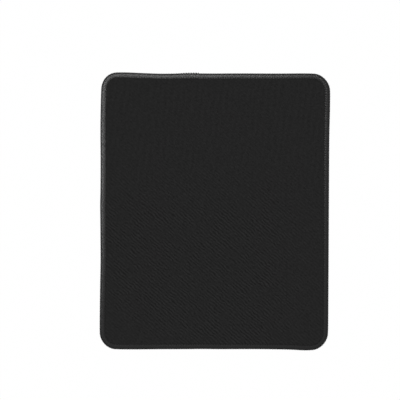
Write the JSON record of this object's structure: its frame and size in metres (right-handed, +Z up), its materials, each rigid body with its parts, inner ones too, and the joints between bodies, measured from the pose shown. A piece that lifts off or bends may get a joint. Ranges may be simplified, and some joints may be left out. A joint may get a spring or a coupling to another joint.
{
  "type": "mouse pad",
  "caption": "Flat rounded-rectangle cloth mouse pad on a foamed rubber base, with an overlock-stitched edge; a mouse glides on its face.",
  "frame": {"origin": "on the desk, under the middle of the pad: the centre of the base's underside", "axes": "+X across the pad to the right as in the picture, +Y along it towards the edge that is at the top of the picture, +Z up out of the working face"},
  "size_m": [0.24, 0.2904, 0.0043],
  "materials": {
    "cloth": "matte tight weave",
    "thread": "soft sheen of textured polyester thread",
    "rubber": "matte foam with a fine grip texture",
    "adhesive": "clear hot-melt film, hidden"
  },
  "bodies": {
    "root": {"rubber_base": "rubber", "adhesive_film": "adhesive", "cloth_face": "cloth", "upper_looper_thread": "thread", "lower_looper_thread": "thread", "needle_thread": "thread"}
  },
  "joints": []
}
